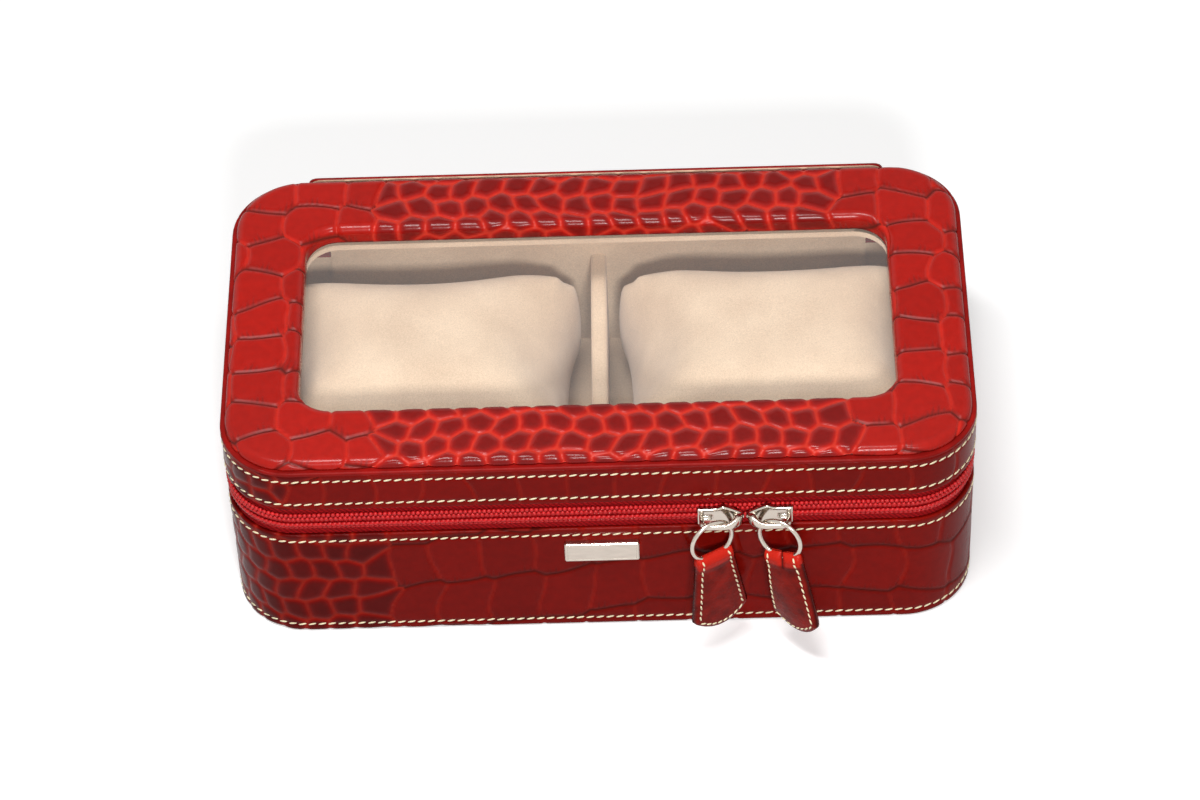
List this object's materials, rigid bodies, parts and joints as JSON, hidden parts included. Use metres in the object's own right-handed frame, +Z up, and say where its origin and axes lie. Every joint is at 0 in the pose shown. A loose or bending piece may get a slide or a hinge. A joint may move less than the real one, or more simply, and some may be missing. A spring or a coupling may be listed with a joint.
{
  "type": "watch storage case",
  "caption": "Zipped leather watch case with a windowed, padded lid on a leather hinge, a divided suede inside with watch cushions, and zip sliders with rings and leather pulls.",
  "frame": {"origin": "centre of the case's underside, on the surface that it rests on", "axes": "+X to the right along the length, +Y to the rear, where the hinge is, and +Z up"},
  "size_m": [0.2002, 0.1245, 0.0669],
  "materials": {
    "croc_leather": "glossy red, embossed with crocodile scales",
    "plain_leather": "semi-gloss red, fine grain",
    "board": "grey-brown fibre board",
    "foam": "pale open foam",
    "suede": "matt beige suede",
    "zip_tape": "woven red tape",
    "zip_coil": "satin red coil",
    "nickel": "polished nickel",
    "window": "clear, polished"
  },
  "bodies": {
    "base": {"bottom_leather": "plain_leather", "bottom_board": "board", "base_wall_board": "board", "base_side_leather": "croc_leather", "base_top_binding": "plain_leather", "base_floor_lining": "suede", "base_wall_lining": "suede", "rear_lining_panel": "suede", "divider": "suede", "cushion_left": "suede", "cushion_right": "suede", "zip_tape_lower": "zip_tape", "zip_coil_lower": "zip_coil", "nameplate": "nickel", "hinge_strip": "plain_leather"},
    "lid": {"lid_side_leather": "croc_leather", "lid_wall_board": "board", "lid_lower_binding": "plain_leather", "lid_wall_lining": "suede", "lid_rim_welt": "plain_leather", "lid_top_board": "board", "lid_top_pad": "foam", "lid_top_leather": "croc_leather", "window_pane": "window", "lid_lining_frame": "suede", "zip_tape_upper": "zip_tape", "zip_coil_upper": "zip_coil"},
    "left_slider": {"slider_left": "nickel"},
    "right_slider": {"slider_right": "nickel"},
    "left_ring": {"ring_left": "nickel"},
    "right_ring": {"ring_right": "nickel"},
    "left_pull": {"pull_tab_left": "plain_leather"},
    "right_pull": {"pull_tab_right": "plain_leather"}
  },
  "joints": [
    {"name": "lid_hinge", "type": "hinge", "parent": "base", "child": "lid", "pos_m": [0, 0.0546, 0.0448], "axis": [-1, 0, 0], "range_deg": [0, 110], "deforming": ["hinge_strip"]},
    {"name": "left_slider_run", "type": "slide", "parent": "base", "child": "left_slider", "axis": [-1, 0, 0], "range_m": [0, 0.105]},
    {"name": "right_slider_run", "type": "slide", "parent": "base", "child": "right_slider", "axis": [1, 0, 0], "range_m": [0, 0.029]},
    {"name": "left_ring_swing", "type": "hinge", "parent": "left_slider", "child": "left_ring", "pos_m": [0.0304, -0.059, 0.0448], "axis": [-1, 0, 0], "range_deg": [0, 90]},
    {"name": "right_ring_swing", "type": "hinge", "parent": "right_slider", "child": "right_ring", "pos_m": [0.046, -0.059, 0.0448], "axis": [-1, 0, 0], "range_deg": [0, 90]},
    {"name": "left_pull_swing", "type": "hinge", "parent": "left_ring", "child": "left_pull", "pos_m": [0.03019, -0.05956, 0.04112], "axis": [0.4822, -0.8698, 0.1045], "range_deg": [-45, 8]},
    {"name": "right_pull_swing", "type": "hinge", "parent": "right_ring", "child": "right_pull", "pos_m": [0.04621, -0.05956, 0.04112], "axis": [-0.4822, -0.8698, 0.1045], "range_deg": [-8, 45]}
  ]
}
